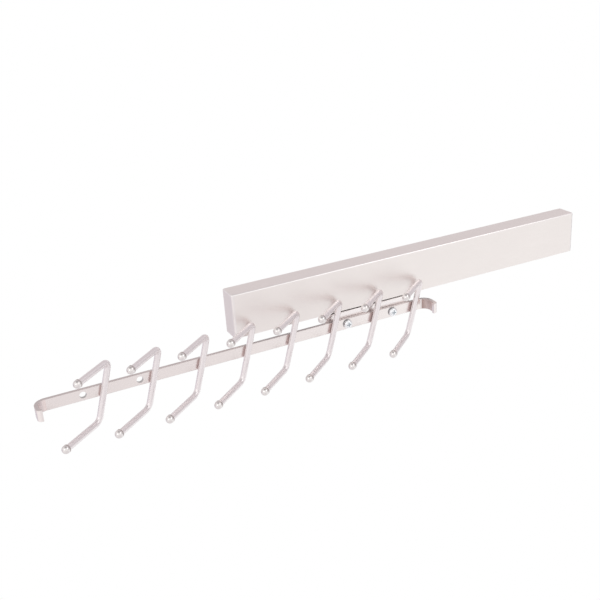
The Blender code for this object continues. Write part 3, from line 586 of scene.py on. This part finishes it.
def build_cover():
    """Folded shell, open behind, with a slot underneath between its two returns."""
    low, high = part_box("cover")
    outside = rounded_block(low, high, COVER_CORNER, COVER_EDGE)
    shell = add_piece(outside, "cover_shell", "cover", cover_nickel, cover_edge_painted_highlight)
    wall = Vector((COVER_WALL,) * 3)
    inner_low, inner_high = low + wall, high - wall
    inner_high.y = high.y + COVER_WALL
    hollow = rounded_block(inner_low, inner_high, COVER_CORNER - COVER_WALL, COVER_EDGE - COVER_WALL)
    cut_away(shell, hollow)
    slot_low = Vector((low.x + COVER_RETURN, inner_low.y, low.z - COVER_WALL))
    slot_high = Vector((high.x - COVER_RETURN, inner_high.y, inner_low.z + COVER_WALL))
    cut_away(shell, block(slot_low, slot_high))
    keep_flats(shell)


def cross_cutter(place, axis, turn):
    """Tapered cross that a driver fits, deepest at its middle."""
    bm = bmesh.new()
    across = axis.orthogonal().normalized()
    up = axis.cross(across)
    rings = []
    for (span, width), height in ((RECESS_TOP, RECESS_DEPTH / 2), (RECESS_FOOT, -RECESS_DEPTH)):
        ring = []
        for quarter in range(4):
            spin = Matrix.Rotation(turn + math.pi / 2 * quarter, 2)
            for corner in ((span, -width), (span, width), (width, width)):
                flat = spin @ Vector(corner)
                ring.append(bm.verts.new(place + across * flat.x + up * flat.y + axis * height))
        rings.append(ring)
    bridge(bm, *rings)
    bm.faces.new(rings[0])
    bm.faces.new(rings[1])
    return bm


def screw_profile(length):
    """Half outline of a bar screw from its crown to its end as (radius, height)."""
    flat = HEAD_RADIUS - HEAD_ROUND
    profile = [(0, 0), (flat / 2, -CROWN_MIDDLE)]
    for step in range(DOME_STEPS + 1):
        turn = math.pi / 2 * step / DOME_STEPS
        radius = flat + HEAD_ROUND * math.sin(turn)
        drop = HEAD_ROUND * (1 - math.cos(turn)) + HEAD_CROWN * (radius / HEAD_RADIUS) ** 2
        profile.append((radius, -drop))
    profile += [(HEAD_RADIUS, -HEAD_HEIGHT), (SCREW_RADIUS, -HEAD_HEIGHT)]
    height = -HEAD_HEIGHT - THREAD_PITCH
    while height - THREAD_PITCH > -length:
        profile += [(SCREW_RADIUS, height), (SCREW_RADIUS - THREAD_DEPTH, height - THREAD_PITCH / 2)]
        height -= THREAD_PITCH
    return [*profile, (SCREW_RADIUS - THREAD_DEPTH, -length), (0, -length)]


def build_bar_screw(number, turn):
    """Pan-head screw with a domed head and a cross recess at the given turn."""
    name = f"bar_screw_{number}"
    low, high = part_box(name)
    front = Vector(((low.x + high.x) / 2, low.y, (low.z + high.z) / 2))
    axis = Vector((0, -1, 0))
    bm = turned(screw_profile(high.y - low.y), front, axis, HEAD_SIDES)
    # The head's upright side takes painted shade
    for face in bm.faces:
        height = (face.calc_center_median() - front).dot(axis)
        if -HEAD_HEIGHT < height < -HEAD_ROUND:
            face.material_index = HEAD_SIDE_PAINTED_SHADE
    screw = add_piece(bm, name + "_cross_head", name, screw_zinc, screw_recess, head_side_painted_shade)
    # The recess walls take painted shade
    cut_away(screw, cross_cutter(front, axis, turn), RECESS_PAINTED_SHADE)
    screw.data.set_sharp_from_angle(angle=SHARP)


build_cover()
build_bar()
for screw_number, screw_turn in enumerate(SCREW_TURNS, 1):
    build_bar_screw(screw_number, screw_turn)
for hook_number in range(1, HOOK_COUNT + 1):
    build_hook(hook_number)


def place_camera():
    """Camera at the photo's viewing angle."""
    azimuth, elevation = CAMERA_AZIMUTH, CAMERA_ELEVATION
    forward = Vector((math.sin(-azimuth) * math.cos(elevation), math.cos(azimuth) * math.cos(elevation),
                      -math.sin(elevation)))
    right = forward.cross(Vector((0, 0, 1))).normalized()
    up = right.cross(forward)
    tilted_right = right * math.cos(CAMERA_ROLL) + up * math.sin(CAMERA_ROLL)
    tilted_up = up * math.cos(CAMERA_ROLL) - right * math.sin(CAMERA_ROLL)
    data = bpy.data.cameras.new("photo_camera")
    data.sensor_width = SENSOR
    data.sensor_fit = "HORIZONTAL"
    data.lens = FOCAL_PIXELS / IMAGE_SIZE * SENSOR
    data.clip_start = CAMERA_NEAR
    camera = bpy.data.objects.new("photo_camera", data)
    turn = Matrix((tilted_right, tilted_up, -forward)).transposed().to_4x4()
    camera.matrix_world = Matrix.Translation(CAMERA_PLACE) @ turn
    bpy.context.scene.collection.objects.link(camera)
    bpy.context.scene.camera = camera


def largest(tree, first, second):
    """The larger of two values."""
    most = tree.nodes.new("ShaderNodeMath")
    most.operation = "MAXIMUM"
    tree.links.new(first, most.inputs[0])
    tree.links.new(second, most.inputs[1])
    return most.outputs["Value"]


def mix_shaders(tree, factor, first, second):
    """Shader that passes from a first to a second one."""
    mix = tree.nodes.new("ShaderNodeMixShader")
    tree.links.new(factor, mix.inputs[0])
    tree.links.new(first.outputs[0], mix.inputs[1])
    tree.links.new(second.outputs[0], mix.inputs[2])
    return mix


def pool_colour(tree):
    """Pool of light: white to the right, shaded at the left and back, light far left and dim far away."""
    place = tree.nodes.new("ShaderNodeTexCoord").outputs["Object"]
    depth = along_way(tree, place, FORTH)
    beside = ramp(tree, along_way(tree, place, LEFT_WAY), LEFT_START, LEFT_END)
    left = blend_colour(tree, beside, SHADE_FRONT, LEFT_LIGHT)
    front = blend_colour(tree, ramp(tree, depth, CLOSE_START, CLOSE_END), SHADE_FRONT, left)
    shade = blend_colour(tree, ramp(tree, depth, FRONT_END, BACK_START), front, SHADE_BACK)
    across = ramp(tree, along_way(tree, place, SHADE_SLANT), SHADE_SIDE, BRIGHT_SIDE)
    near = blend_colour(tree, across, shade, WHITE)
    far = ramp(tree, along_way(tree, place, FAR_SLANT), BRIGHT_END, DIM_START)
    return blend_colour(tree, far, near, ROOM_SIDE)


def build_floor():
    """Pale floor that the camera sees as white and the metal as a pool of light."""
    bm = bmesh.new()
    bmesh.ops.create_grid(bm, x_segments=1, y_segments=1, size=FLOOR_SIZE / 2)
    mesh = bpy.data.meshes.new("floor")
    bm.to_mesh(mesh)
    bm.free()
    floor = bpy.data.objects.new("floor", mesh)
    floor.location = (0, 0, FLOOR_HEIGHT)
    bpy.context.scene.collection.objects.link(floor)
    material, tree, shader = make_material("floor_white")
    shader.inputs["Base Color"].default_value = (*FLOOR_COLOUR, 1.0)
    shader.inputs["Roughness"].default_value = FLOOR_ROUGHNESS
    pool = node(tree, "ShaderNodeEmission", Strength=1.0)
    tree.links.new(pool_colour(tree), pool.inputs["Color"])
    glow = node(tree, "ShaderNodeEmission", Color=(*WHITE, 1.0), Strength=1.0)
    path = tree.nodes.new("ShaderNodeLightPath")
    mirrored = largest(tree, path.outputs["Is Glossy Ray"], path.outputs["Is Transmission Ray"])
    lit = mix_shaders(tree, mirrored, shader, pool)
    seen = mix_shaders(tree, path.outputs["Is Camera Ray"], lit, glow)
    tree.links.new(seen.outputs[0], tree.nodes["Material Output"].inputs["Surface"])
    mesh.materials.append(material)


def light_world():
    """Room that is bright in front, duller behind and to the right, dark above, and white to the camera."""
    world = bpy.data.worlds.new("studio")
    bpy.context.scene.world = world
    world.use_nodes = True
    tree = world.node_tree
    tree.nodes.clear()
    output = tree.nodes.new("ShaderNodeOutputWorld")
    path = tree.nodes.new("ShaderNodeLightPath")
    way = tree.nodes.new("ShaderNodeTexCoord").outputs["Generated"]
    height = along_way(tree, way, UP)
    back = blend_colour(tree, ramp(tree, height, HORIZON_END, BACK_RISE), ROOM_HORIZON, ROOM_BACK)
    facing = ramp(tree, along_way(tree, way, ROOM_BRIGHT_WAY), ROOM_DIM_FROM, ROOM_BRIGHT_FROM)
    walls = blend_colour(tree, facing, back, ROOM_FRONT)
    beside = ramp(tree, along_way(tree, way, SIDE_WAY), SIDE_START, SIDE_END)
    around = blend_colour(tree, beside, walls, ROOM_SIDE)
    above = ramp(tree, height, TOP_START, TOP_END)
    room = node(tree, "ShaderNodeBackground", Strength=1.0)
    tree.links.new(blend_colour(tree, above, around, ROOM_TOP), room.inputs["Color"])
    white = node(tree, "ShaderNodeBackground", Color=(*WHITE, 1.0), Strength=1.0)
    mix = mix_shaders(tree, path.outputs["Is Camera Ray"], room, white)
    tree.links.new(mix.outputs[0], output.inputs["Surface"])


def add_softbox(name, place, aim, size, power):
    """Rectangular lamp that points at its aim."""
    data = bpy.data.lights.new(name, "AREA")
    data.shape = "RECTANGLE"
    data.size, data.size_y = size
    data.energy = power
    lamp = bpy.data.objects.new(name, data)
    lamp.location = place
    lamp.rotation_euler = (Vector(aim) - Vector(place)).to_track_quat("-Z", "Y").to_euler()
    bpy.context.scene.collection.objects.link(lamp)


place_camera()
build_floor()
light_world()
for softbox in SOFTBOXES:
    add_softbox(*softbox)
bpy.context.scene.view_settings.view_transform = "Standard"
